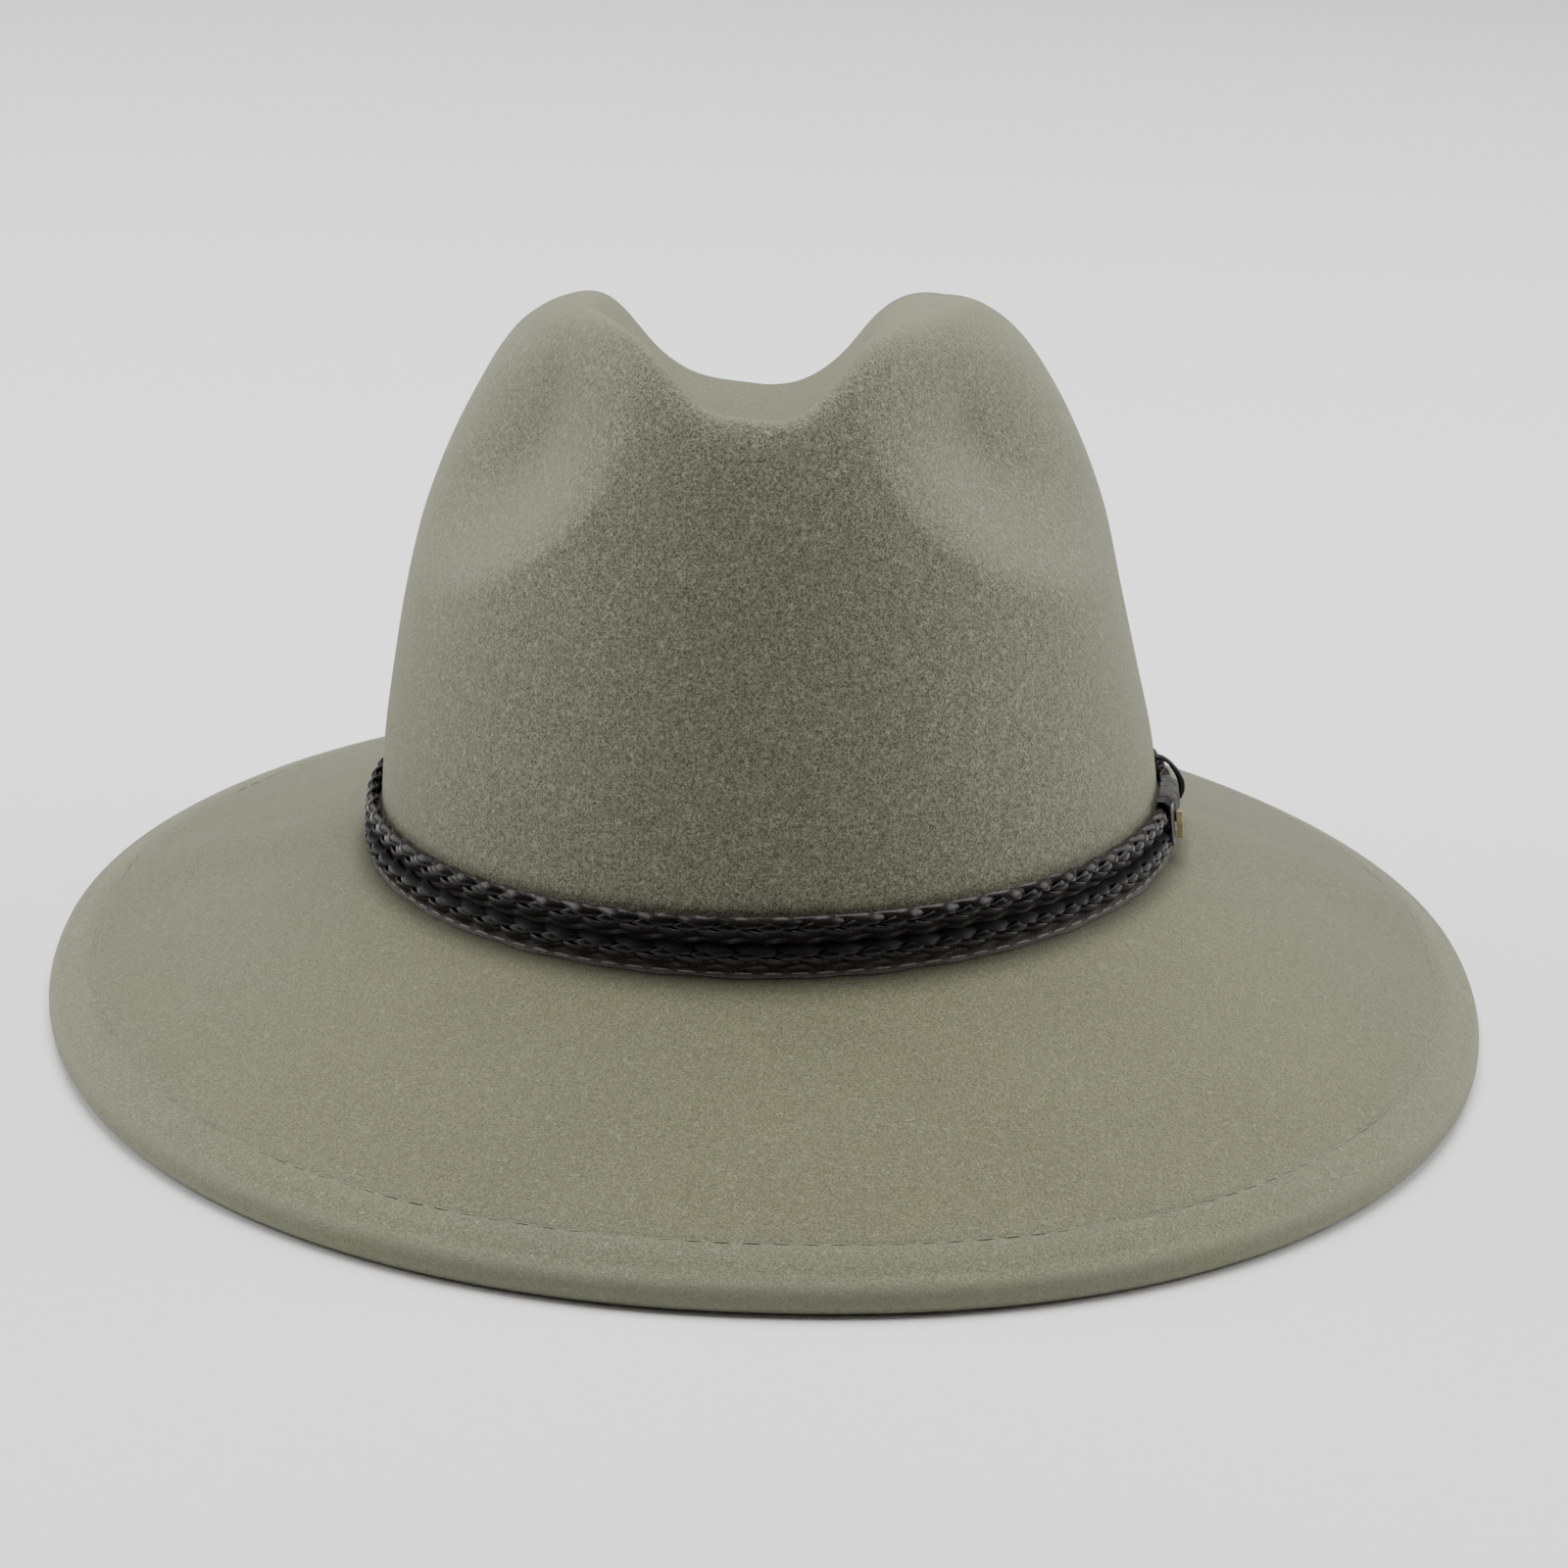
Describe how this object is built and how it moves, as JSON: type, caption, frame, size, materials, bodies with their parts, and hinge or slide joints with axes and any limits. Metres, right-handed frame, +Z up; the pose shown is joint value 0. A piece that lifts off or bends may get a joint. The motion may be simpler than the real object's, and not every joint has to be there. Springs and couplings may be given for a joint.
{
  "type": "fedora hat",
  "caption": "Wide-brimmed soft felt hat with a creased, pinched crown, a turned and stitched brim edge and a twin braided leather band.",
  "frame": {"origin": "middle of the hat's footprint, on the plane that the edge of the brim rests on", "axes": "+Z up through the crown, -Y towards the front of the hat, +X towards the wearer's left, where the band's keeper sits"},
  "size_m": [0.3164, 0.3488, 0.1627],
  "materials": {
    "felt": "matte",
    "braid_leather": "satin",
    "keeper_leather": "satin",
    "tape": "matte",
    "suede": "matte",
    "brass": "brushed"
  },
  "bodies": {
    "root": {"felt_body": "felt", "upper_braid": "braid_leather", "lower_braid": "braid_leather", "backing_tape": "tape", "keeper": "keeper_leather", "plate": "brass", "wrap": "suede", "end_loop": "keeper_leather"}
  },
  "joints": []
}
